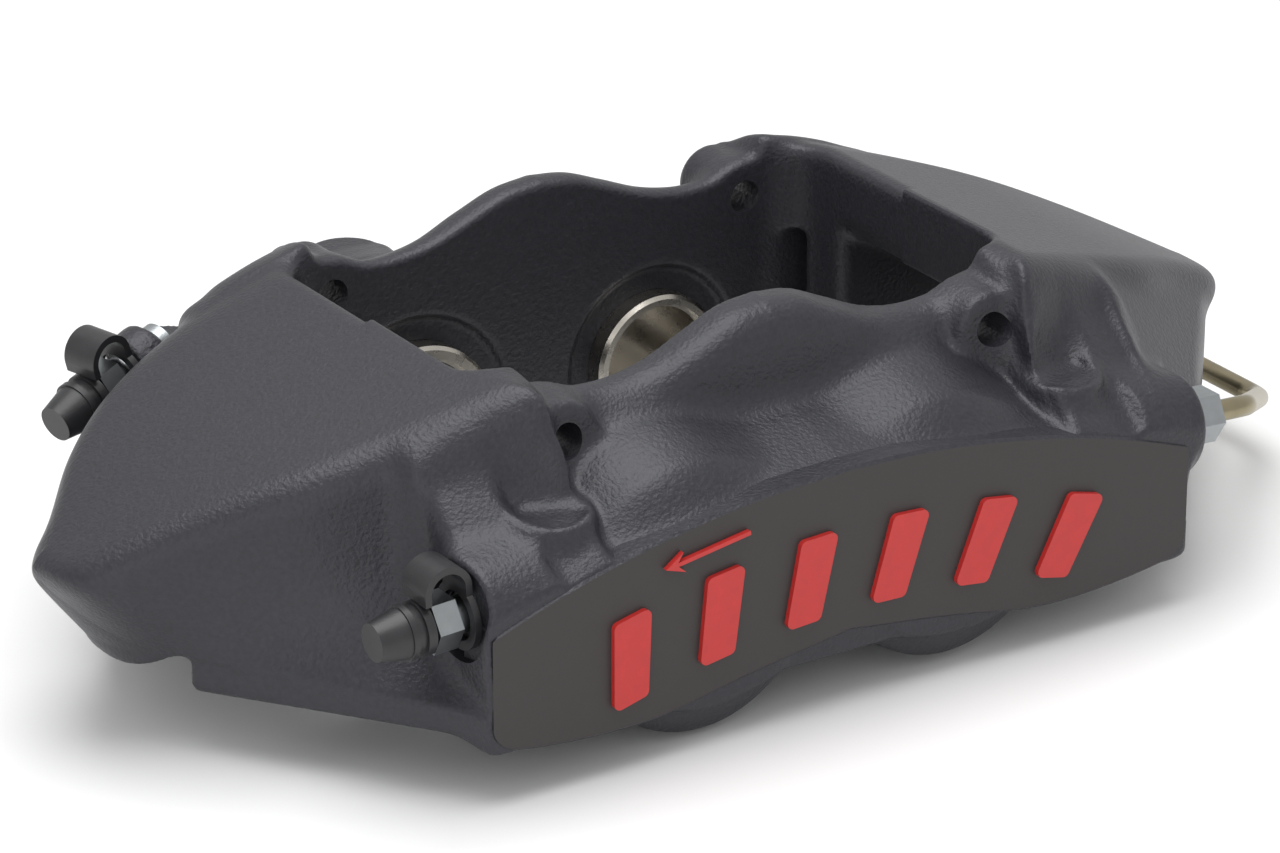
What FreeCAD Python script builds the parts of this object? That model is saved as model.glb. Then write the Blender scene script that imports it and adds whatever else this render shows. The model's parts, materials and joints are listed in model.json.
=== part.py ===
import FreeCAD, Part

import math
import os

from FreeCAD import Vector

# Four-piston fixed brake caliper, radial mount. Millimetres.
#
# Frame: the origin is midway between the two mounting bolts, on the mounting faces.
# +Z points away from the wheel axis, +X runs along the bolt line, +Y points inboard.
# The brake disc (not part of the caliper) turns about an axis parallel to Y.

# --- Disc and mounting -------------------------------------------------------
DISC_RADIUS = 177.5
DISC_CENTRE_Z = -129.0
MID_Y = -76.5                    # the disc's middle plane
ARCH_CLEARANCE = 12.5            # bridge underside to disc rim
NOTCH_HALF = 22.0                # half width of the channel that the disc runs in
MOUNT_SPACING = 152.0
MOUNT_HOLE_R = 5.5
MOUNT_SEAT_Z = 35.5
SOCKET_R = 10.5                  # room for a socket round the bolt head
LUG_R = 12.0

# --- Pads and pins -----------------------------------------------------------
PIN_SPACING = 108.0
PIN_Z = 54.0
PIN_R = 3.8
PIN_BOSS_R = 8.0
PIN_BOSS_OUT = 12.0              # outboard boss face, out from the window wall
PIN_BOSS_IN = 17.0               # inboard boss face, out from the window wall
WINDOW_HALF_X = 68.0
WALL_HALF = 39.5                 # window wall to disc middle plane

# --- Cylinders ---------------------------------------------------------------
EFFECTIVE_RADIUS = 152.0         # pistons' distance from the wheel axis
LEADING_X = 29.0
TRAILING_X = -34.0
LEADING_R = 16.0
TRAILING_R = 19.0
BORE_CLEARANCE = 0.05
BORE_DEPTH = 33.0
RECESS_DEPTH = 3.0
RECESS_MARGIN = 5.5
BARREL_DEPTH = 36.5
BARREL_BOTTOM = -8.5
PISTON_LENGTH = 29.0
PISTON_PROUD = 2.0
PISTON_CUP = 0.80                # cup radius over piston radius
PISTON_CUP_DEPTH = 20.0
SEAL_START, SEAL_WIDTH, SEAL_THICK = 9.0, 3.6, 3.0
WIPER_START, WIPER_WIDTH, WIPER_THICK = 4.2, 2.2, 2.5

# --- Body --------------------------------------------------------------------
HALF_DEPTH = 39.0                # window wall to outboard face plate
WALL_THICK = 11.5
NOSE_X = 150.0
NOSE_TOP_Z = 37.0
NOSE_BOTTOM_Z = 4.0
BRIDGE_TOP_Z = 66.5
# Ridge of each nose: X, distance from the disc's middle plane, and Z, at its two ends.
RIDGES = {
    -1: ((90.0, 44.0, 57.0), (146.0, 19.0, 38.0)),
    1: ((90.0, 45.0, 53.0), (128.0, 31.0, 40.0)),
}
BODY_HALF_X = 88.0
WALL_BOTTOM_Z = 5.0
PLATE_THICK = 12.0
PLATE_TOP_MID_Z, PLATE_TOP_END_Z = 44.5, 28.5
PLATE_LOW_MID_Z, PLATE_LOW_DIP_Z, PLATE_LOW_END_Z = 7.0, -0.5, 2.5
MARK_HEIGHT = 1.2                # raised red marks on the face plate
MARK_COUNT, MARK_PITCH = 6, 22.5
MARK_WIDTH, MARK_TALL, MARK_LEAN, MARK_CORNER_R = 9.0, 19.0, 2.5, 1.5
MARKS_ARC_R, MARKS_MID_Z = 236.0, 22.0
ARROW_X, ARROW_Z, ARROW_TILT = -35.5, 35.2, 8.8
PASSAGE_R = 1.5

# --- Fittings ----------------------------------------------------------------
THREAD_R = 5.0
THREAD_DEPTH = 12.0
FIT = 0.05
SPOTFACE_R = 10.0
BOSS_R = 10.5
BOSS_LENGTH = 14.0
HEX_AF = 11.0
TUBE_R = 2.38
TUBE_BORE_R = 1.65
NUT_AF = 11.0
NUT_LENGTH = 8.0

X_AXIS = Vector(1, 0, 0)
Y_AXIS = Vector(0, 1, 0)
Z_AXIS = Vector(0, 0, 1)
OUTBOARD, INBOARD = -1, 1

BLEEDERS = {
    "outboard": (Vector(-87.0, MID_Y - 67.0, 29.5), Vector(-1.0, 0.0, -0.05)),
    "inboard": (Vector(-96.0, MID_Y + 57.0, 41.0), Vector(-0.93, -0.25, -0.27)),
}
PORT_DIR = Vector(1.0, 0.0, -0.06)
PORT_X = 94.0
PORT_Z = 28.5
PORT_OUT = {OUTBOARD: 67.0, INBOARD: 60.0}  # port axes, out from the disc's middle plane
PIPE_LEAD = 19.0                 # straight run out of each port
PIPE_END = Vector(154.5, 22.0, 3.5)
PIPE_BEND_R = 11.0
INLET = Vector(-33.5, -6.8, 50.5)
INLET_BOSS_R = 9.0
INLET_THREAD_R = 4.55


def y_at(side, depth):
    """Y of a plane that lies this deep into one half, measured from its window wall."""
    return MID_Y + side * (WALL_HALF + depth)


def unit(vector):
    return vector * (1.0 / vector.Length)


def rod(start, direction, radius, length):
    return Part.makeCylinder(radius, length, start, unit(direction))


def rod_between(start, end, radius):
    return rod(start, end - start, radius, (end - start).Length)


def rod_y(side, x, z, radius, depth0, depth1):
    start = Vector(x, y_at(side, depth0), z)
    return rod(start, Vector(0, side, 0), radius, depth1 - depth0)


def block(x0, x1, y0, y1, z0, z1):
    return Part.makeBox(x1 - x0, y1 - y0, z1 - z0, Vector(x0, y0, z0))


def merge(shapes):
    return shapes[0].fuse(shapes[1:]).removeSplitter() if len(shapes) > 1 else shapes[0]


def keep_side(shape, point, outward):
    """Cut away everything beyond a plane through point with this outward normal."""
    size = 600.0
    slab = Part.makeBox(size, size, size, Vector(-size / 2, -size / 2, 0))
    slab.Placement = FreeCAD.Placement(point, FreeCAD.Rotation(Z_AXIS, unit(outward)))
    return shape.cut(slab)


def plane_normal(a, b, c, outward_hint):
    normal = (b - a).cross(c - a)
    return normal if normal.dot(outward_hint) > 0 else normal * -1.0


def prism(edges, direction):
    return Part.Face(Part.Wire(edges)).extrude(direction)


def polygon(points):
    return [Part.LineSegment(a, b).toShape() for a, b in zip(points, points[1:] + points[:1])]


def ring(start, direction, inner, outer, width):
    return rod(start, direction, outer, width).cut(rod(start, direction, inner, width))


def hexagon(start, direction, across_flats, length):
    axis = unit(direction)
    side = Vector(0, 0, 1).cross(axis)
    side = unit(side)
    up = axis.cross(side)
    corner = across_flats / math.sqrt(3)
    points = []
    for step in range(6):
        angle = math.radians(60 * step)
        points.append(start + side * (corner * math.cos(angle)) + up * (corner * math.sin(angle)))
    return prism(polygon(points), axis * length)


def port(side, along=0.0):
    """Point on the axis of a crossover port, this far out of its seat."""
    return Vector(PORT_X, MID_Y + side * PORT_OUT[side], PORT_Z) + unit(PORT_DIR) * along


def bore_z(x):
    return DISC_CENTRE_Z + math.sqrt(EFFECTIVE_RADIUS ** 2 - x ** 2)


CYLINDERS = {
    "leading": (LEADING_X, bore_z(LEADING_X), LEADING_R),
    "trailing": (TRAILING_X, bore_z(TRAILING_X), TRAILING_R),
}


# --- Caliper body ------------------------------------------------------------
def wall(side):
    """Window wall with a hump between the pad pins and a valley at each of them."""
    hump = [(-88, 38), (-76, 62), (-67, 66.5), (-54, 61.5), (-38, 59.5), (-18, 65.5), (0, 71.0)]
    points = hump + [(-x, z) for x, z in reversed(hump[:-1])]
    y = y_at(side, 0)
    spline = Part.BSplineCurve()
    spline.interpolate([Vector(x, y, z) for x, z in points])
    start, end = spline.StartPoint, spline.EndPoint
    corners = [end, Vector(end.x, y, WALL_BOTTOM_Z), Vector(start.x, y, WALL_BOTTOM_Z), start]
    edges = [spline.toShape()]
    edges += [Part.LineSegment(a, b).toShape() for a, b in zip(corners, corners[1:])]
    return prism(edges, Vector(0, side * WALL_THICK, 0))


def nose(end):
    """One end of the body: a wedge that slopes down from the window to a blunt tip."""
    shape = block(WINDOW_HALF_X, NOSE_X, MID_Y - 80, MID_Y + 80, NOSE_BOTTOM_Z, BRIDGE_TOP_Z)
    window_top = Vector(WINDOW_HALF_X, MID_Y, BRIDGE_TOP_Z)
    slope = Vector(BRIDGE_TOP_Z - NOSE_TOP_Z, 0, NOSE_X - WINDOW_HALF_X)
    shape = keep_side(shape, window_top, slope)
    shape = keep_side(shape, Vector(NOSE_X, MID_Y, NOSE_TOP_Z - 8), Vector(21, 0, -16))
    for side in (OUTBOARD, INBOARD):
        ridge_in, ridge_out = [Vector(x, MID_Y + side * out, z) for x, out, z in RIDGES[side]]
        foot_in = Vector(BODY_HALF_X, y_at(side, HALF_DEPTH - 1.5), 11)
        foot_out = Vector(134, MID_Y + side * 13, 11)
        facet = plane_normal(ridge_in, ridge_out, foot_in, Vector(1, side, 1))
        band = plane_normal(foot_in, foot_out, ridge_out, Vector(1, side, 0))
        shape = keep_side(shape, ridge_in, facet)
        shape = keep_side(shape, foot_in, band)
        shape = keep_side(shape, Vector(90, y_at(side, HALF_DEPTH), 0), Vector(0, side, 0))
    shape = keep_side(shape, Vector(146, MID_Y + 8, 36), Vector(26, 24, 14))
    if end < 0:
        shape = shape.mirror(Vector(0, 0, 0), X_AXIS)
    return shape


def face_plate():
    """Flat outboard face: an arched top edge and a scalloped lower edge."""
    y = y_at(OUTBOARD, HALF_DEPTH)
    top = Part.Arc(Vector(-87, y, PLATE_TOP_END_Z), Vector(0, y, PLATE_TOP_MID_Z),
                   Vector(87, y, PLATE_TOP_END_Z)).toShape()
    low = [(88.5, PLATE_LOW_END_Z), (75, PLATE_LOW_DIP_Z + 1), (50, PLATE_LOW_DIP_Z),
           (25, 3.5), (0, PLATE_LOW_MID_Z)]
    low += [(-x, z) for x, z in reversed(low[:-1])]
    spline = Part.BSplineCurve()
    spline.interpolate([Vector(x, y, z) for x, z in low])
    right = Part.LineSegment(Vector(87, y, PLATE_TOP_END_Z), spline.StartPoint).toShape()
    left = Part.LineSegment(spline.EndPoint, Vector(-87, y, PLATE_TOP_END_Z)).toShape()
    return prism([top, right, spline.toShape(), left], Vector(0, PLATE_THICK, 0))


def half(side):
    """One half of the body: window wall, cylinder barrels, core and pin bosses."""
    shapes = [wall(side)]
    for x, z, radius in CYLINDERS.values():
        barrel = rod_y(side, x, z, z - BARREL_BOTTOM, 0, BARREL_DEPTH)
        rim = [edge for edge in barrel.Edges
               if abs(edge.CenterOfMass.y - y_at(side, BARREL_DEPTH)) < 0.1 and edge.Length > 10]
        shapes.append(barrel.makeFillet(5.0, rim))
    y0, y1 = sorted((y_at(side, 0), y_at(side, 30)))
    shapes.append(block(-BODY_HALF_X, BODY_HALF_X, y0, y1, WALL_BOTTOM_Z, 38))
    boss_face = PIN_BOSS_OUT if side == OUTBOARD else PIN_BOSS_IN
    for x in (-PIN_SPACING / 2, PIN_SPACING / 2):
        shapes.append(rod_y(side, x, PIN_Z, PIN_BOSS_R, 0, boss_face))
    return merge(shapes)


def lugs():
    shapes = []
    for x in (-MOUNT_SPACING / 2, MOUNT_SPACING / 2):
        shapes.append(rod(Vector(x, 0, 0), Z_AXIS, LUG_R, MOUNT_SEAT_Z))
        x0, x1 = sorted((x - math.copysign(14, x), x + math.copysign(10, x)))
        shapes.append(block(x0, x1, y_at(INBOARD, 0), 0, 0, MOUNT_SEAT_Z))
    return shapes


def passages():
    """Fluid drillings: bleeder, cylinder to cylinder, crossover port and inlet."""
    shapes = []
    for side, name in ((OUTBOARD, "outboard"), (INBOARD, "inboard")):
        back = y_at(side, BORE_DEPTH - 2)
        left = Vector(TRAILING_X, back, bore_z(TRAILING_X))
        right = Vector(LEADING_X, back, bore_z(LEADING_X))
        shapes.append(rod_between(left, right, PASSAGE_R))
        base, out = BLEEDERS[name]
        shapes.append(rod_between(base - unit(out) * (THREAD_DEPTH - 1), left, PASSAGE_R))
        shapes.append(rod_between(port(side, 1 - THREAD_DEPTH), right, PASSAGE_R))
    down = Vector(INLET.x, INLET.y, bore_z(TRAILING_X))
    shapes.append(rod_between(INLET - Z_AXIS * 10, down, PASSAGE_R))
    back = Vector(TRAILING_X, y_at(INBOARD, BORE_DEPTH - 2), bore_z(TRAILING_X))
    shapes.append(rod_between(down, back, PASSAGE_R))
    return shapes


def cylinder_cuts(side):
    """Bore, recess round its mouth, and the grooves for pressure seal and wiper."""
    cuts = []
    for x, z, radius in CYLINDERS.values():
        cuts.append(rod_y(side, x, z, radius + BORE_CLEARANCE, -1, BORE_DEPTH))
        cuts.append(rod_y(side, x, z, radius + RECESS_MARGIN, -1, RECESS_DEPTH))
        cuts.append(rod_y(side, x, z, radius + SEAL_THICK, SEAL_START, SEAL_START + SEAL_WIDTH))
        cuts.append(rod_y(side, x, z, radius + WIPER_THICK, WIPER_START, WIPER_START + WIPER_WIDTH))
    return cuts


def fitting_bosses():
    """Metal round each bleed screw and each pipe nut."""
    shapes = []
    for base, out in BLEEDERS.values():
        shapes.append(rod(base - unit(out) * BOSS_LENGTH, out, BOSS_R, BOSS_LENGTH))
    for side in (OUTBOARD, INBOARD):
        shapes.append(rod(port(side, -BOSS_LENGTH), PORT_DIR, BOSS_R, BOSS_LENGTH))
    shapes.append(rod(Vector(INLET.x, INLET.y, 20), Z_AXIS, INLET_BOSS_R, INLET.z - 20))
    return shapes


def fitting_cuts():
    shapes = []
    for base, out in BLEEDERS.values():
        shapes.append(rod(base - unit(out) * THREAD_DEPTH, out, THREAD_R + FIT, THREAD_DEPTH + 1))
        shapes.append(rod(base, out, SPOTFACE_R, 40))
    for side in (OUTBOARD, INBOARD):
        shapes.append(rod(port(side, -THREAD_DEPTH), PORT_DIR, THREAD_R + FIT, THREAD_DEPTH + 1))
        shapes.append(rod(port(side), PORT_DIR, SPOTFACE_R, 60))
    shapes.append(rod(INLET - Z_AXIS * 12, Z_AXIS, INLET_THREAD_R, 20))
    return shapes


def mount_cuts():
    """Bolt hole, and above it the bolt-head seat with room for a socket."""
    shapes = []
    for x in (-MOUNT_SPACING / 2, MOUNT_SPACING / 2):
        shapes.append(rod(Vector(x, 0, -1), Z_AXIS, MOUNT_HOLE_R, 60))
        shapes.append(rod(Vector(x, 0, MOUNT_SEAT_Z), Z_AXIS, SOCKET_R, 60))
    return shapes


def caliper_body():
    arch = rod(Vector(0, MID_Y - NOTCH_HALF, DISC_CENTRE_Z), Y_AXIS,
               DISC_RADIUS + ARCH_CLEARANCE, 2 * NOTCH_HALF)
    shapes = [half(OUTBOARD), half(INBOARD), nose(-1).cut(arch), nose(1).cut(arch), face_plate()]
    body = merge(shapes + lugs() + fitting_bosses())
    cuts = cylinder_cuts(OUTBOARD) + cylinder_cuts(INBOARD) + fitting_cuts() + mount_cuts() + passages()
    for x in (-PIN_SPACING / 2, PIN_SPACING / 2):
        start = Vector(x, y_at(OUTBOARD, 30), PIN_Z)
        cuts.append(rod(start, Y_AXIS, PIN_R, y_at(INBOARD, 30) - y_at(OUTBOARD, 30)))
    return body.cut(cuts)


# --- Pistons and seals -------------------------------------------------------
def piston(side, x, z, radius):
    """Hollow cup, open towards the pad, with a seated lip and a turned groove."""
    lip = 2.2
    shape = rod_y(side, x, z, radius, -PISTON_PROUD, PISTON_LENGTH - PISTON_PROUD)
    shape = shape.makeChamfer(0.8, [e for e in shape.Edges if e.Length > 2 * radius * 3 and e.Closed])
    cup = radius * PISTON_CUP
    shape = shape.cut(rod_y(side, x, z, cup, -PISTON_PROUD, PISTON_CUP_DEPTH - PISTON_PROUD))
    return shape.cut(rod_y(side, x, z, cup + 1.0, -PISTON_PROUD, lip - PISTON_PROUD))


def groove_ring(side, x, z, radius, start, width, thick):
    point = Vector(x, y_at(side, start + FIT), z)
    return ring(point, Vector(0, side, 0), radius + FIT, radius + thick, width - 2 * FIT)


# --- Bleed screws ------------------------------------------------------------
def bleed_screw(base, out):
    """Cone seat, thread, neck, hexagon, and the hose nipple with its barb."""
    axis = unit(out)
    parts = [
        rod(base - axis * (THREAD_DEPTH - 1.5), axis, THREAD_R, THREAD_DEPTH - 1.5 + 0.5),
        rod(base, axis, 4.0, 5.0),
        hexagon(base + axis * 4.6, axis, HEX_AF, 5.6),
        rod(base + axis * 10, axis, 3.0, 10.0),
        Part.makeCone(3.4, 2.5, 3.5, base + axis * 17.0, axis),
    ]
    shape = merge(parts)
    return shape.cut(rod(base + axis * 2, axis, 0.9, 30))


def bleed_cap(base, out):
    """Rubber cap over the nipple: flange ribs, then a tapered blunt tip."""
    axis = unit(out)
    parts = [
        rod(base + axis * 10.6, axis, 5.9, 2.0),
        rod(base + axis * 12.0, axis, 5.2, 3.0),
        rod(base + axis * 14.6, axis, 5.9, 1.4),
        Part.makeCone(5.5, 4.1, 6.6, base + axis * 15.9, axis),
    ]
    shape = merge(parts)
    cavity = rod(base + axis * 10.5, axis, 3.75, 10.4)
    return shape.cut(cavity)


def cap_strap(base, out):
    """Moulded tongue that arches from the cap's mouth over the hexagon to a ring on the neck."""
    axis = unit(out)
    side = unit(Vector(0, 0, 1).cross(axis))
    up = axis.cross(side)
    if up.z < 0:
        up = up * -1.0
        side = side * -1.0

    def spot(along, height):
        return base + axis * along + up * height

    outer = [spot(1.2, 6.0), spot(1.2, 8.5), spot(6.8, 13.6), spot(12.2, 8.5), spot(12.2, 6.1)]
    inner = [spot(10.7, 6.1), spot(10.7, 8.5), spot(6.8, 12.0), spot(2.7, 8.5), spot(2.7, 6.0)]
    edges = [
        Part.LineSegment(outer[0], outer[1]).toShape(),
        Part.Arc(outer[1], outer[2], outer[3]).toShape(),
        Part.LineSegment(outer[3], outer[4]).toShape(),
        Part.LineSegment(outer[4], inner[0]).toShape(),
        Part.LineSegment(inner[0], inner[1]).toShape(),
        Part.Arc(inner[1], inner[2], inner[3]).toShape(),
        Part.LineSegment(inner[3], inner[4]).toShape(),
        Part.LineSegment(inner[4], outer[0]).toShape(),
    ]
    half_width = 4.5
    tongue = prism(edges, side * (2 * half_width))
    tongue.translate(side * -half_width)
    neck_ring = ring(base + axis * 1.2, axis, 5.35, 7.4, 1.5)
    return merge([tongue, neck_ring])


# --- Crossover pipe ----------------------------------------------------------
def pipe_nut(side):
    """Flare nut: thread in the body, hexagon outside, and a hole for the tube."""
    parts = [
        rod(port(side, 3 - THREAD_DEPTH), PORT_DIR, THREAD_R, THREAD_DEPTH - 3 + 0.8),
        hexagon(port(side, 0.7), PORT_DIR, NUT_AF, NUT_LENGTH),
    ]
    return merge(parts).cut(rod(port(side, -THREAD_DEPTH), PORT_DIR, TUBE_R + FIT, 40))


def pipe_route():
    """Corner points of the pipe, symmetric about the disc's middle plane."""
    end = Vector(PIPE_END.x, MID_Y - PIPE_END.y, PIPE_END.z)
    far_end = Vector(PIPE_END.x, MID_Y + PIPE_END.y, PIPE_END.z)
    lead_in = [port(OUTBOARD, 4 - THREAD_DEPTH), port(OUTBOARD, PIPE_LEAD), end]
    return lead_in + [far_end, port(INBOARD, PIPE_LEAD), port(INBOARD, 4 - THREAD_DEPTH)]


def sweep(points, bend, radius):
    """Tube along straight runs joined by tangent arcs."""
    edges = []
    at = points[0]
    for before, here, after in zip(points, points[1:], points[2:]):
        inward = unit(before - here)
        onward = unit(after - here)
        turn = math.pi - inward.getAngle(onward)
        trim = bend * math.tan(turn / 2)
        first = here + inward * trim
        last = here + onward * trim
        bisector = unit(inward + onward)
        centre = here + bisector * (bend / math.cos(turn / 2))
        middle = centre - bisector * bend
        edges.append(Part.LineSegment(at, first).toShape())
        edges.append(Part.Arc(first, middle, last).toShape())
        at = last
    edges.append(Part.LineSegment(at, points[-1]).toShape())
    spine = Part.Wire(edges)
    circle = Part.makeCircle(radius, points[0], points[1] - points[0])
    return spine.makePipeShell([Part.Wire([circle])], True, False), spine.Length


def crossover_pipe():
    outer, length = sweep(pipe_route(), PIPE_BEND_R, TUBE_R)
    inner, _ = sweep(pipe_route(), PIPE_BEND_R, TUBE_BORE_R)
    tube = outer.cut(inner)
    print("pipe length", round(length, 1), "volume", round(tube.Volume, 1),
          "expected", round(math.pi * (TUBE_R ** 2 - TUBE_BORE_R ** 2) * length, 1))
    return tube


# --- Raised marks on the face plate ------------------------------------------
def rotation_arrow():
    """Thin raised arrow that points the way the disc turns."""
    y = y_at(OUTBOARD, HALF_DEPTH)
    tilt = math.radians(ARROW_TILT)
    outline = [(9, 0.45), (-9.0, 0.45), (-7.4, 2.3), (-12, 0), (-7.4, -2.3), (-9.0, -0.45), (9, -0.45)]
    points = []
    for x, up in outline:
        turned_x = x * math.cos(tilt) - up * math.sin(tilt)
        turned_z = x * math.sin(tilt) + up * math.cos(tilt)
        points.append(Vector(ARROW_X + turned_x, y, ARROW_Z + turned_z))
    return prism(polygon(points), Vector(0, -MARK_HEIGHT, 0))


def face_marks():
    """Row of slanted raised bars that follows the plate's arch."""
    y = y_at(OUTBOARD, HALF_DEPTH)
    centre_z = MARKS_MID_Z - MARKS_ARC_R
    half_w, half_h = MARK_WIDTH / 2, MARK_TALL / 2
    corners = [(-half_w - MARK_LEAN, -half_h), (half_w - MARK_LEAN, -half_h),
               (half_w + MARK_LEAN, half_h), (-half_w + MARK_LEAN, half_h)]
    shapes = []
    for step in range(MARK_COUNT):
        middle = (step - (MARK_COUNT - 1) / 2) * MARK_PITCH
        points = []
        for x, up in corners:
            around = (middle + x) / MARKS_ARC_R
            radial = MARKS_ARC_R + up
            points.append(Vector(radial * math.sin(around), y, centre_z + radial * math.cos(around)))
        bar = prism(polygon(points), Vector(0, -MARK_HEIGHT, 0))
        uprights = [e for e in bar.Edges if abs(e.Length - MARK_HEIGHT) < 0.01]
        shapes.append(bar.makeFillet(MARK_CORNER_R, uprights))
    return Part.makeCompound(shapes)


def build():
    parts = {
        "caliper_body": caliper_body(),
        "crossover_pipe": crossover_pipe(),
        "rotation_arrow": rotation_arrow(),
        "face_marks": face_marks(),
    }
    for side, half_name in ((OUTBOARD, "outboard"), (INBOARD, "inboard")):
        parts[half_name + "_pipe_nut"] = pipe_nut(side)
        base, out = BLEEDERS[half_name]
        parts[half_name + "_bleed_screw"] = bleed_screw(base, out)
        parts[half_name + "_bleed_cap"] = bleed_cap(base, out)
        parts[half_name + "_cap_strap"] = cap_strap(base, out)
        for name, (x, z, radius) in CYLINDERS.items():
            label = half_name + "_" + name
            parts[label + "_piston"] = piston(side, x, z, radius)
            parts[label + "_seal"] = groove_ring(side, x, z, radius, SEAL_START, SEAL_WIDTH, SEAL_THICK)
            parts[label + "_wiper"] = groove_ring(side, x, z, radius, WIPER_START, WIPER_WIDTH, WIPER_THICK)
    return parts


def main():
    os.makedirs("parts", exist_ok=True)
    for name, shape in build().items():
        shape.exportStep(os.path.join("parts", name + ".step"))
        box = shape.BoundBox
        print(name, shape.isValid(), len(shape.Solids), round(shape.Volume),
              [round(v, 1) for v in (box.XMin, box.YMin, box.ZMin, box.XMax, box.YMax, box.ZMax)])


main()
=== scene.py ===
import json
import math

import bmesh
import bpy
import numpy as np
from mathutils import Matrix, Vector


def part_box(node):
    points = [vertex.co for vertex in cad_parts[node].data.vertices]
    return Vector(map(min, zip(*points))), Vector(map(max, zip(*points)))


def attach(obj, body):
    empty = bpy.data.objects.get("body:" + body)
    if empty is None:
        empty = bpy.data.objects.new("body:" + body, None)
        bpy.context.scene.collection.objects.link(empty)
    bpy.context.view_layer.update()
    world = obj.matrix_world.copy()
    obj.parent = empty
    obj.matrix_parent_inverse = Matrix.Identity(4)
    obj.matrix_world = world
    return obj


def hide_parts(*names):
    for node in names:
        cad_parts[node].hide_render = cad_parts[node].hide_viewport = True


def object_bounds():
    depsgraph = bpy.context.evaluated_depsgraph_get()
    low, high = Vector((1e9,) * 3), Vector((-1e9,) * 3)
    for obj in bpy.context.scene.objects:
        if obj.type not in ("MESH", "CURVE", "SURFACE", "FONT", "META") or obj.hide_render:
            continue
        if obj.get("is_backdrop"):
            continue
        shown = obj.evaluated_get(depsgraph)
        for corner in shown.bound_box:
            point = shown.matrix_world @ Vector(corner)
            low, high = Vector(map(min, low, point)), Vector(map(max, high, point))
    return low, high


bpy.utils.expose_bundled_modules()
import openvdb

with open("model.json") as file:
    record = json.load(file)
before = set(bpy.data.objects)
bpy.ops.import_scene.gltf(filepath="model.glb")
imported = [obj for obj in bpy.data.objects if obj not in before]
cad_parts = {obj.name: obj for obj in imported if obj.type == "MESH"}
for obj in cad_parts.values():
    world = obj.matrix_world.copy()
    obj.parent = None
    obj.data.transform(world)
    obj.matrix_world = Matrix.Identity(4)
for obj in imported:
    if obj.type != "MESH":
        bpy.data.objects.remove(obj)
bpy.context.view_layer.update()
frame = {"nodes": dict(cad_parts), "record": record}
MOUNTS = {m["name"]: m for m in frame["record"]["mounts"]}
JOINTS = {j["name"]: j for j in frame["record"]["behaviour"]["joints"]}
ROOT = "caliper"
MM = 0.001


# ---------------------------------------------------------------- frame sizes
def box_mm(node):
    low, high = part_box(node)
    return np.array(low) / MM, np.array(high) / MM


def mount_mm(name):
    return np.array(MOUNTS[name]["pos_m"]) / MM


CYLINDERS = {}
for which in ("leading", "trailing"):
    low, high = box_mm("outboard_%s_piston" % which)
    CYLINDERS[which] = ((low[0] + high[0]) / 2, (low[2] + high[2]) / 2, (high[0] - low[0]) / 2)
out_lip = box_mm("outboard_leading_piston")[1][1]
in_lip = box_mm("inboard_leading_piston")[0][1]
MID = (out_lip + in_lip) / 2
WALL = 39.5                      # window wall to disc plane
PLATE_Y = box_mm("face_marks")[1][1]
FACE_Q = MID - WALL - PLATE_Y    # face plate's depth from the window wall
PIN_X = abs(mount_mm("pad_pin_left")[0])
PIN_Z = mount_mm("pad_pin_left")[2]
BOLT_X = abs(mount_mm("mount_face_left")[0])
SEAT_Z = mount_mm("bolt_seat_left")[2]
INLET = mount_mm("inlet_port")
BLEEDERS = {side: (np.array(JOINTS[side + "_bleed_screw_turn"]["pos_m"]) / MM,
                   np.array(JOINTS[side + "_bleed_screw_turn"]["axis"]))
            for side in ("outboard", "inboard")}
PORT_DIR = np.array([1.0, 0.0, -0.06]) / math.hypot(1.0, 0.06)
PORTS = {side: np.array([94.0, MID + out, 28.5])
         for side, out in (("outboard", -67.0), ("inboard", 60.0))}
WINDOW_HALF = 68.0               # half length of the pad window
PIN_BORE = 3.8                   # radii of the drilled holes
BOLT_BORE = 5.5
THREAD_BORE = 5.05
SPOTFACE = 10.0
INLET_BORE = 4.55
GROOVES = ((9.0, 3.6, 3.0), (4.2, 2.2, 2.5))   # depth, width, radial size: seal, wiper


# ------------------------------------------------------------- field toolkit
def smin(a, b, k):
    h = np.maximum(k - np.abs(a - b), 0) / k
    return np.minimum(a, b) - h * h * k * 0.25


def smax(a, b, k):
    return -smin(-a, -b, k)


def step01(t):
    t = np.clip(t, 0, 1)
    return t * t * (3 - 2 * t)


def table(points):
    """Smooth curve through points, as a function of one coordinate."""
    xs = np.array([p[0] for p in points], float)
    zs = np.array([p[1] for p in points], float)
    slope = np.gradient(zs, xs)
    fine = np.linspace(xs[0], xs[-1], 400)
    i = np.clip(np.searchsorted(xs, fine) - 1, 0, len(xs) - 2)
    h = xs[i + 1] - xs[i]
    t = (fine - xs[i]) / h
    values = ((2 * t ** 3 - 3 * t ** 2 + 1) * zs[i] + (t ** 3 - 2 * t ** 2 + t) * h * slope[i]
              + (3 * t ** 2 - 2 * t ** 3) * zs[i + 1] + (t ** 3 - t ** 2) * h * slope[i + 1])
    return lambda x: np.interp(x, fine, values).astype(np.float32)


def plane3(a, b, c, hint):
    """Unit normal and offset of the plane through three points, facing hint."""
    a, b, c = (np.array(p, float) for p in (a, b, c))
    n = np.cross(b - a, c - a)
    n /= np.linalg.norm(n)
    if n @ np.array(hint) < 0:
        n = -n
    return n, n @ a


def side_of(plane, x, y, z):
    n, offset = plane
    return n[0] * x + n[1] * y + n[2] * z - offset


def rod(x, y, z, base, axis, radius, t0, t1, k=1.0):
    px, py, pz = x - base[0], y - base[1], z - base[2]
    along = px * axis[0] + py * axis[1] + pz * axis[2]
    across = np.sqrt(np.maximum(px * px + py * py + pz * pz - along * along, 0))
    return smax(across - radius, np.maximum(along - t1, t0 - along), k)


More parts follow.
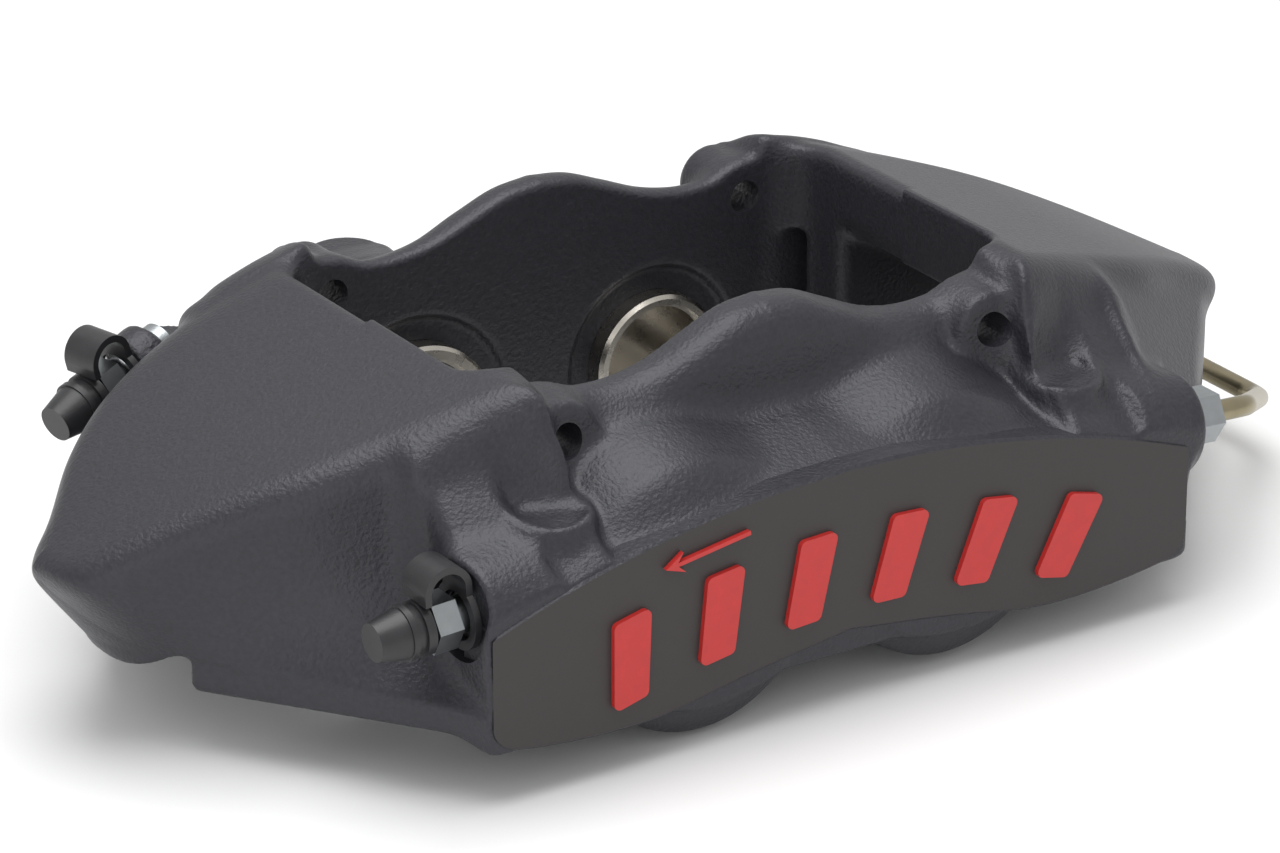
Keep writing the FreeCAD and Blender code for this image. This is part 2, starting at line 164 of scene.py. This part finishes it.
def capsule(x, y, z, a, b, ra, rb):
    """Rounded cone between two balls."""
    a, b = np.array(a, float), np.array(b, float)
    ab = b - a
    px, py, pz = x - a[0], y - a[1], z - a[2]
    t = np.clip((px * ab[0] + py * ab[1] + pz * ab[2]) / (ab @ ab), 0, 1)
    dist = np.sqrt((px - t * ab[0]) ** 2 + (py - t * ab[1]) ** 2 + (pz - t * ab[2]) ** 2)
    return dist - (ra + (rb - ra) * t)


# ---------------------------------------------------------- body as a field
RIM = {-1: table([(0, 70.6), (9, 69.4), (18, 65.6), (28, 61.3), (38, 59.5), (46, 60.0), (54, 61.6),
                  (62, 63.8), (68, 66.0), (88, 59.0)]),
       1: table([(0, 69.2), (9, 68.0), (18, 64.6), (28, 60.8), (38, 59.2), (46, 59.8), (54, 61.4),
                 (62, 63.8), (68, 66.0), (88, 59.0)])}
PLATE_TOP = table([(0, 44.5), (22, 43.5), (44, 40.4), (66, 35.4), (87, 28.5), (90, 27.4)])
PLATE_LOW = table([(0, 7.0), (25, 3.5), (50, -0.5), (75, 0.5), (88.5, 2.5)])
BULGE = table([(-5, 38), (0, 37), (10, 35.8), (17, 34.2), (24, 31.8), (29, 29.6),
               (31.5, 27.2), (35, 22.5), (39, 17)])
BARREL = table([(-5, 28), (31, 28), (34, 27.2), (36.5, 22)])
TOP_SLOPE = (np.array([0.348, 0, 0.9375]), 0.348 * 68 + 0.9375 * 66.5)
TOP_STEEP = (np.array([0.56, 0, 0.828]), 0.56 * 141 + 0.828 * 39.5)
TIP = (np.array([0.795, 0, -0.606]), 0.795 * 152 - 0.606 * 29)
EDGE = {-1: table([(55, 56), (68, 53), (90, 44.5), (107, 38), (124, 28.5), (144, 19),
                   (150, 16), (160, 10)]),
        1: table([(55, 56), (68, 50), (90, 43.5), (107, 38), (116, 34), (129, 24.5),
                  (142, 10), (150, 3), (160, -8)])}
LIP_OUT = table([(55, 122), (88, 76.5), (106, 51.6), (120, 32.5), (132, 17), (140, 11.5),
                 (147, 8), (155, 2)])
LIP_Z = table([(55, 9), (88, 9.5), (106, 11), (120, 11), (132, 12.5), (140, 17), (147, 24),
               (153, 31), (160, 32)])


SLOPES = {-1: (np.array([0.249, 0.638, 0.728]), 0.249 * 68 + 0.638 * 44.5 + 0.728 * 63.5),
          1: (np.array([0.249, 0.55, 0.797]), 0.249 * 68 + 0.55 * 43 + 0.797 * 65.0)}
FACET = (np.array([0.577, 0.603, 0.551]),
         0.577 * 88.5 + 0.603 * (MID + 122.0) + 0.551 * 57.5)
LIP_RIGHT = table([(55, 110), (88, 74), (106, 60), (120, 43), (132, 29), (142, 17),
                   (148, 10), (155, 2)])


def nose(x, v, z):
    """Both ends: a sloped top whose sides flare out to a lip over a crisp vertical band."""
    ax = np.abs(x)
    band = plane3((88, 76.5, 0), (134, 13, 0), (134, 13, 30), (1, 1, 0))
    band_right = plane3((88, 76, 0), (143, 17, 0), (143, 17, 30), (1, 1, 0))
    crown = 66.5 - 0.371 * (ax - 68)
    lip = LIP_OUT(ax)
    lip_z = LIP_Z(ax)
    low = None
    for side in (-1, 1):
        s = v * side
        edge = EDGE[side](ax)
        t = np.clip((crown - z) / (crown - lip_z), 0, 1)
        grow = 0.22 * t + 0.78 * t ** 4
        stretch = np.sqrt(1 + (0.4 + 0.8 * grow) ** 2 + (0.25 + 0.6 * grow) ** 2)
        spread = (s - edge - (lip - edge) * grow) / stretch
        under = side_of(band, ax, s, z) - np.maximum(z - 11.0, 0) * 0.9
        if side < 0:
            cut = smax(side_of(FACET, ax, s, z), s - LIP_RIGHT(ax), 3)
            spread = np.where(x > 0, smin(spread, smax(cut, 87.4 - ax, 1.5), 1.5), spread)
            under_right = side_of(band_right, ax, s, z) - np.maximum(z - 14.0, 0) * 0.3
            under = np.where(x > 0, under_right, under)
        else:
            spread = smax(spread, side_of(SLOPES[1], ax, s, z), 5)
        k = 1.0 + 5.0 * step01((ax - 128) / 14)
        part = smax(spread, under, k)
        part = smax(part, s - (77.0 if side < 0 else 74.0), 1.5)
        part = np.where(s >= 0, part, -50).astype(np.float32)
        low = part if low is None else np.maximum(low, part)
    low = smax(low, side_of(TIP, ax, v, z), 6)
    low = smax(low, 4.0 - z, 2)
    return smax(low, 60 - ax, 2)


def bulges(x, z, q):
    """Material round each cylinder: a cone that narrows outboard above, a barrel below."""
    out = None
    for cx, cz, radius in CYLINDERS.values():
        rho = np.hypot(x - cx, z - cz)
        upper = step01((z - cz + 4) / 16)
        size = BARREL(q) * (1 - upper) + (BULGE(q) - (19 - radius) * 0.45) * upper
        d = smax((rho - size) * 0.93, q - 37.5, 2)
        out = d if out is None else smin(out, d, 6)
    return out


def body_half(x, y, z, side):
    ax = np.abs(x)
    q = (y - MID) * side - WALL
    w = q + WALL
    rim = RIM[side](ax)
    wall_thick = 8.6 + 2.4 * step01((44 - ax) / 26) + 0.10 * np.maximum(rim - z, 0)
    wall = smax(smax(q - wall_thick, (z - rim) * 0.93, 7), 5 - z, 2)
    wall = smax(wall, ax - 88, 2)
    if side < 0:
        floor_z = PLATE_TOP(ax) - 1.2 + 0.30 * np.maximum(37 - q, 0)
        core = smax((z - floor_z) * 0.95, q - 37.6, 1)
        core = smax(core, smax(ax - 87.3, 1.0 + 0.01 * ax - z, 3), 2)
        corner = smax(side_of(SLOPES[side], ax, w, z), q - 37.6, 2)
    else:
        core = smax(z - 38, q - 30, 8)
        core = smax(core, smax(ax - 87.3, 5 - z, 3), 4)
        corner = smax(side_of(SLOPES[side], ax, w, z), q - 35, 4)
    corner = smax(corner, smax(ax - (87.5 if side < 0 else 79), 59 - ax, 3), 3)
    corner = smax(corner, 4 - z, 2)
    d = smin(core, bulges(x, z, q), 4)
    d = smin(d, wall, 4.5)
    d = smin(d, corner, 5)
    face = 13.0 if side < 0 else 17.0
    boss = smax(np.hypot(ax - PIN_X, np.abs(z - PIN_Z)) - 8.0, q - face, 2.5)
    boss = smax(boss, -q, 1)
    if side < 0:
        web = capsule(ax, q, z, (PIN_X + 1.5, face - 6, 52), (PIN_X + 6.5, face + 3, 43), 6.5, 3.5)
        boss = smin(boss, web, 3)
        yy = MID - WALL - q
        pocket = capsule(ax, yy, z, (68.5, -123.0, 64.0), (66.5, -137.0, 49.5), 7.5, 7.0)
        d = smax(d, -pocket, 3)
        pad = np.hypot(ax - 64.8, yy + 139.7)
        d = smin(d, smax(smax(pad - 8.8, z - 44.6, 2), 34 - z, 2), 3)
        d = smax(d, -smax(pad - 6.9, 44.6 - z, 1.5), 2.0)
    d = smin(d, boss, 3.5)
    return np.where(q > -1, smax(d, -q, 1), 50).astype(np.float32)


def lugs(ax, y, z):
    post = smax(np.hypot(ax - BOLT_X, y) - 12.0, z - SEAT_Z, 1.5)
    arm = smax(np.maximum(ax - 86.5, 61.5 - ax), np.maximum(y, MID + WALL - y), 4)
    arm = smax(arm, z - SEAT_Z, 3)
    return smax(smin(post, arm, 4), -z, 1.5)


def body_field(x, y, z):
    ax = np.abs(x)
    v = y - MID
    w = np.abs(v)
    q = w - WALL
    d = np.where(v < 0, body_half(x, y, z, -1), body_half(x, y, z, 1))
    d = smin(d, nose(x, v, z), 5)
    d = smin(d, lugs(ax, y, z), 5)
    for side, (base, axis) in BLEEDERS.items():
        if side == "outboard":
            d = smin(d, rod(x, y, z, base, axis, 10.8, -14, 0, 1.5), 6)
        else:
            root = (base[0] + 4, base[1] - 17, base[2] - 20)
            d = smin(d, rod(x, y, z, base, axis, 6.8, -6, 0, 1), 2)
            d = smin(d, capsule(x, y, z, base - 5 * axis, root, 5.5, 9), 4)
    for base in PORTS.values():
        d = smin(d, rod(x, y, z, base, PORT_DIR, 10.8, -16, 0, 1.5), 6)
    d = smin(d, rod(x, y, z, INLET, (0, 0, 1), 9.0, -34, 0, 1.5), 5)
    top = smax(side_of(TOP_SLOPE, ax, v, z), side_of(TOP_STEEP, ax, v, z), 10)
    d = smax(d, top, 7)
    d = smax(d, -v - (WALL + FACE_Q - 0.4), 0.5)
    # scallop and seat over each bolt hole
    scallop = smax(np.hypot(ax - BOLT_X, y) - 10.5, SEAT_Z - z, 1.2)
    d = smax(d, -scallop, 1.8)
    # disc channel, then the pad window
    channel = smax(np.hypot(x, z + 129.0) - 190.0, w - 22.0, 3)
    d = smax(d, -channel, 2)
    window = smax(ax - WINDOW_HALF, w - WALL, 11)
    soft = np.where(v < 0, 1.6, 4.5).astype(np.float32)
    d = smax(d, -window, soft)
    relief = smax(smax(ax - 71.5, np.abs(w - 37.2) - 2.3, 1.5), z - 45, 3)
    d = smax(d, -relief, 1)
    for cx, cz, radius in CYLINDERS.values():
        recess = smax(np.hypot(x - cx, z - cz) - radius - 5.5, np.abs(q) - 3.0, 1.5)
        d = smax(d, -recess, 2.2)
    return d.astype(np.float32)


# --------------------------------------------------------------- mesh tools
def field_mesh(name, field, low, high, step):
    axes = [np.arange(a, b + step, step, dtype=np.float32) for a, b in zip(low, high)]
    limit = 3 * step
    volume = np.empty([len(a) for a in axes], np.float32)
    for i in range(0, len(axes[0]), 16):
        x, y, z = np.meshgrid(axes[0][i:i + 16], axes[1], axes[2], indexing="ij")
        volume[i:i + 16] = np.clip(field(x, y, z), -limit, limit)
    grid = openvdb.FloatGrid(limit)
    grid.copyFromArray(volume)
    points, quads = grid.convertToQuads(0.0)
    points = (points * step + np.array(low)).astype(np.float64)
    for _ in range(2):
        x, y, z = points.T
        f = field(x, y, z)
        e = 0.15
        g = np.stack([field(x + e, y, z) - field(x - e, y, z),
                      field(x, y + e, z) - field(x, y - e, z),
                      field(x, y, z + e) - field(x, y, z - e)], 1) / (2 * e)
        move = -(f / np.maximum((g * g).sum(1), 0.25))[:, None] * g
        length = np.linalg.norm(move, axis=1, keepdims=True)
        points += move * np.minimum(1, 0.6 * step / np.maximum(length, 1e-9))
    mesh = bpy.data.meshes.new(name)
    mesh.from_pydata((points * MM).tolist(), [], quads[:, ::-1].tolist())
    mesh.update()
    return mesh


def add(mesh, name):
    obj = bpy.data.objects.new(name, mesh)
    bpy.context.scene.collection.objects.link(obj)
    return obj


def frame_matrix(base, axis, up=(0, 0, 1)):
    """Local Z along axis, local X as near up as it can be; base in millimetres."""
    zc = Vector(axis).normalized()
    xc = (Vector(up) - zc * Vector(up).dot(zc)).normalized()
    yc = zc.cross(xc)
    m = Matrix((xc, yc, zc)).transposed().to_4x4()
    m.translation = Vector(base) * MM
    return m


def lathe(name, profile, base, axis, segments=96, up=(0, 0, 1)):
    """Solid of revolution from (radius, along) points in millimetres, closed on itself."""
    m = frame_matrix(base, axis, up)
    bm = bmesh.new()
    rings = []
    for r, t in profile:
        if r < 1e-6:
            rings.append([bm.verts.new(m @ Vector((0, 0, t * MM)))])
            continue
        rings.append([bm.verts.new(m @ Vector((r * MM * math.cos(a), r * MM * math.sin(a), t * MM)))
                      for a in (2 * math.pi * i / segments for i in range(segments))])
    pairs = list(zip(rings, rings[1:]))
    if len(rings[0]) > 1 and len(rings[-1]) > 1:
        pairs.append((rings[-1], rings[0]))
    for ra, rb in pairs:
        for i in range(segments):
            j = (i + 1) % segments
            if len(ra) == 1:
                bm.faces.new((ra[0], rb[j], rb[i]))
            elif len(rb) == 1:
                bm.faces.new((ra[i], ra[j], rb[0]))
            else:
                bm.faces.new((ra[i], ra[j], rb[j], rb[i]))
    bmesh.ops.recalc_face_normals(bm, faces=bm.faces)
    return from_bmesh(name, bm)


def from_bmesh(name, bm, sharp=32):
    mesh = bpy.data.meshes.new(name)
    bm.to_mesh(mesh)
    bm.free()
    mesh.shade_smooth()
    mesh.set_sharp_from_angle(angle=math.radians(sharp))
    return mesh


def boolean(obj, cutter_meshes, operation="DIFFERENCE"):
    for mesh in cutter_meshes:
        cutter = add(mesh, "cutter")
        mod = obj.modifiers.new("cut", "BOOLEAN")
        mod.operation = operation
        mod.solver = "MANIFOLD"
        mod.object = cutter
        bpy.context.view_layer.update()
        graph = bpy.context.evaluated_depsgraph_get()
        cut = bpy.data.meshes.new_from_object(obj.evaluated_get(graph))
        obj.modifiers.clear()
        obj.data = cut
        bpy.data.objects.remove(cutter)
    return obj


def drill(base, axis, radius, t0, t1, segments=96, chamfer=0.0):
    profile = [(0, t0), (radius, t0), (radius, t1), (0, t1)]
    if chamfer:
        profile = [(0, t0), (radius, t0), (radius, -chamfer), (radius + chamfer, 0),
                   (radius + chamfer + t1, t1), (0, t1)]
    return lathe("drill", profile, base, axis, segments)


def plate_mesh():
    """Flat outboard face: arched top, scalloped lower edge, rounded corners, thin chamfer."""
    half, low_round, top_round = 87.6, 5.5, 1.0
    turn = np.cos(np.linspace(0, math.pi, 241))
    xs = half * np.sign(turn) * (1 - (1 - np.abs(turn)) ** 1.6)

    def corner_drop(x, r):
        into = np.maximum(np.abs(x) - (half - r), 0)
        return r - np.sqrt(np.maximum(r * r - into * into, 0))

    top = [(x, float(PLATE_TOP(abs(x)) - corner_drop(x, top_round))) for x in xs]
    low = [(x, float(PLATE_LOW(abs(x)) + corner_drop(x, low_round))) for x in xs]
    count = len(xs)
    loop = top + low[::-1]
    bm = bmesh.new()
    rings = []
    for inset, y in ((0.0, PLATE_Y + 12.0), (0.0, PLATE_Y + 0.7), (0.7, PLATE_Y)):
        ring = []
        for i, (x, z) in enumerate(loop):
            (xa, za), (xb, zb) = loop[i - 1], loop[(i + 1) % len(loop)]
            size = math.hypot(xb - xa, zb - za)
            x_in = x + inset * (zb - za) / size
            z_in = z + inset * (xb - xa) / size
            ring.append(bm.verts.new((x_in * MM, y * MM, z_in * MM)))
        rings.append(ring)
    for ra, rb in zip(rings, rings[1:]):
        for i in range(len(loop)):
            j = (i + 1) % len(loop)
            bm.faces.new((ra[i], ra[j], rb[j], rb[i]))
    for ring in (rings[0], rings[-1]):
        for i in range(count - 1):
            bm.faces.new((ring[i], ring[i + 1], ring[2 * count - 2 - i], ring[2 * count - 1 - i]))
    bmesh.ops.recalc_face_normals(bm, faces=bm.faces)
    return from_bmesh("plate", bm)


# ------------------------------------------------------------------- body
STEP = 0.8
body_mesh = field_mesh("body", body_field, (-155.0, -158.0, -12.0), (155.0, 15.0, 75.0), STEP)
body = add(body_mesh, "caliper_casting")
cuts = []
for side in (-1, 1):
    y0 = MID + side * WALL
    for cx, cz, radius in CYLINDERS.values():
        cuts.append(drill((cx, y0, cz), (0, side, 0), radius + 0.05, -1, 33, 128))
        for start, width, thick in GROOVES:
            cuts.append(drill((cx, y0 + side * start, cz), (0, side, 0),
                              radius + thick, 0, width, 128))
for x in (-PIN_X, PIN_X):
    cuts.append(drill((x, MID, PIN_Z), (0, 1, 0), PIN_BORE, -56, 62, 64))
for x in (-BOLT_X, BOLT_X):
    cuts.append(drill((x, 0, SEAT_Z), (0, 0, 1), BOLT_BORE, -40, 8, 64, 0.9))
for base, axis in BLEEDERS.values():
    cuts.append(drill(base, axis, SPOTFACE, 0, 30, 96))
    cuts.append(drill(base, axis, THREAD_BORE, -12, 1, 64))
for base in PORTS.values():
    cuts.append(drill(base, PORT_DIR, SPOTFACE, 0, 60, 96))
    cuts.append(drill(base, PORT_DIR, THREAD_BORE, -12, 1, 64))
cuts.append(drill(INLET, (0, 0, 1), INLET_BORE, -12, 4, 64, 0.8))
boolean(body, cuts)
boolean(body, [plate_mesh()], "UNION")
body.data.shade_smooth()
body.data.set_sharp_from_angle(angle=math.radians(40))
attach(body, ROOT)
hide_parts("caliper_body")


# -------------------------------------------------------------- materials
def material(name, color, rough, metal=0.0, bump=None, variation=0.0, noise_scale=400.0):
    mat = bpy.data.materials.new(name)
    mat.use_nodes = True
    tree = mat.node_tree
    nodes, links = tree.nodes, tree.links
    shader = nodes["Principled BSDF"]
    shader.inputs["Metallic"].default_value = metal
    coord = nodes.new("ShaderNodeTexCoord")
    noise = nodes.new("ShaderNodeTexNoise")
    noise.inputs["Scale"].default_value = noise_scale
    noise.inputs["Detail"].default_value = 3.0
    links.new(coord.outputs["Object"], noise.inputs["Vector"])
    ramp = nodes.new("ShaderNodeValToRGB")
    ramp.color_ramp.elements[0].position = 0.3
    ramp.color_ramp.elements[1].position = 0.7
    ramp.color_ramp.elements[0].color = [c * (1 - variation) for c in color] + [1]
    ramp.color_ramp.elements[1].color = [c * (1 + variation) for c in color] + [1]
    links.new(noise.outputs["Fac"], ramp.inputs["Fac"])
    links.new(ramp.outputs["Color"], shader.inputs["Base Color"])
    spread = nodes.new("ShaderNodeMapRange")
    spread.inputs["To Min"].default_value = rough - 0.05
    spread.inputs["To Max"].default_value = rough + 0.05
    links.new(noise.outputs["Fac"], spread.inputs["Value"])
    links.new(spread.outputs["Result"], shader.inputs["Roughness"])
    if bump:
        strength, scale = bump
        grain = nodes.new("ShaderNodeTexNoise")
        grain.inputs["Scale"].default_value = scale
        grain.inputs["Detail"].default_value = 2.0
        links.new(coord.outputs["Object"], grain.inputs["Vector"])
        node = nodes.new("ShaderNodeBump")
        node.inputs["Strength"].default_value = strength
        node.inputs["Distance"].default_value = 0.0004
        links.new(grain.outputs["Fac"], node.inputs["Height"])
        links.new(node.outputs["Normal"], shader.inputs["Normal"])
    return mat


# colour, roughness, metallic, (bump strength, bump scale), colour variation, noise scale
LOOKS = {
    "anodised_body": ((0.030, 0.030, 0.037), 0.41, 0.25, (0.55, 1100.0), 0.14, 900.0),
    "plate_face": ((0.036, 0.031, 0.031), 0.55, 0.1, (0.08, 1500.0), 0.05, 500.0),
    "piston_metal": ((0.50, 0.47, 0.42), 0.28, 1.0, (0.05, 1500.0), 0.05, 300.0),
    "seal_rubber": ((0.012, 0.012, 0.012), 0.6, 0.0, (0.1, 1200.0), 0.2, 500.0),
    "zinc_plated_steel": ((0.34, 0.36, 0.37), 0.33, 1.0, (0.08, 1500.0), 0.06, 300.0),
    "cap_rubber": ((0.02, 0.02, 0.022), 0.38, 0.0, (0.08, 1500.0), 0.15, 300.0),
    "pipe_steel": ((0.30, 0.26, 0.17), 0.32, 1.0, (0.06, 1500.0), 0.08, 200.0),
    "red_paint": ((0.5, 0.025, 0.022), 0.45, 0.0, (0.04, 1500.0), 0.05, 300.0),
}
MATS = {name: material(name, *look) for name, look in LOOKS.items()}
body.data.materials.clear()
body.data.materials.append(MATS["anodised_body"])
body.data.materials.append(MATS["plate_face"])
for face in body.data.polygons:
    on_plate = face.normal.y < -0.99 and face.center.y < (PLATE_Y + 0.05) * MM
    face.material_index = 1 if on_plate else 0
for part in frame["record"]["subparts"]:
    obj = frame["nodes"][part["node"]]
    if not obj.material_slots:
        obj.data.materials.append(MATS[part["material_slot"]])
    for slot in obj.material_slots:
        slot.material = MATS[part["material_slot"]]


# ------------------------------------------------------------------ stage
def stage():
    low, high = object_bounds()
    bm = bmesh.new()
    n, half, rise = 24, 3.0, 1.5
    rows = []
    for i in range(n + 1):
        t = i / n
        y = -half + 2 * half * t
        z = low[2] - 0.0002 + (0 if t < 0.7 else rise * ((t - 0.7) / 0.3) ** 2)
        rows.append([bm.verts.new((x, y, z)) for x in (-half, half)])
    for a, b in zip(rows, rows[1:]):
        bm.faces.new((a[0], a[1], b[1], b[0]))
    floor = add(from_bmesh("studio_floor", bm), "studio_floor")
    paper = material("studio_paper", (0.86, 0.86, 0.86), 0.7, 0.0, None, 0.01, 6.0)
    floor.data.materials.append(paper)
    floor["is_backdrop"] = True


def area_light(name, place, aim, size, power, size_y=None):
    light = bpy.data.lights.new(name, "AREA")
    light.energy = power
    light.size = size
    if size_y:
        light.shape = "RECTANGLE"
        light.size_y = size_y
    obj = bpy.data.objects.new(name, light)
    bpy.context.scene.collection.objects.link(obj)
    obj.location = place
    obj.rotation_euler = (Vector(aim) - Vector(place)).to_track_quat("-Z", "Y").to_euler()


AZIMUTH, ELEVATION = -33.45, 23.43   # degrees
SENSOR_MM = 36.0
IMAGE_WIDTH = 1280.0
FOCAL = 5925.0                       # focal length in image widths times IMAGE_WIDTH
PIN_SPACING = 0.108                  # metres; camera offsets below are multiples of it
PIN_BOSS_CENTRE = Vector((0, -0.1278, 0.054))


def camera():
    az, el = math.radians(AZIMUTH), math.radians(ELEVATION)
    back = Vector((math.sin(az) * math.cos(el), -math.cos(az) * math.cos(el), math.sin(el)))
    right = Vector((math.cos(az), math.sin(az), 0))
    up = back.cross(right)
    cam = bpy.data.cameras.new("camera")
    cam.sensor_width = SENSOR_MM
    cam.lens = FOCAL * SENSOR_MM / IMAGE_WIDTH
    cam.clip_end = 20.0
    obj = bpy.data.objects.new("camera", cam)
    bpy.context.scene.collection.objects.link(obj)
    place = (back * 11.47 - right * 0.2708 - up * 0.0881) * PIN_SPACING + PIN_BOSS_CENTRE
    m = Matrix((right, up, back)).transposed().to_4x4()
    m.translation = place
    obj.matrix_world = m
    bpy.context.scene.camera = obj


stage()
camera()
world = bpy.data.worlds.new("studio")
bpy.context.scene.world = world
world.use_nodes = True
world.node_tree.nodes["Background"].inputs["Color"].default_value = (1, 1, 1, 1)
world.node_tree.nodes["Background"].inputs["Strength"].default_value = 0.75
area_light("top_softbox", (-0.05, -0.05, 0.9), (0, -0.07, 0.03), 0.9, 7.2, 0.7)
area_light("front_fill", (-0.9, -1.0, 0.35), (0, -0.1, 0.03), 0.7, 1.6)
bpy.context.scene.view_settings.view_transform = "Standard"
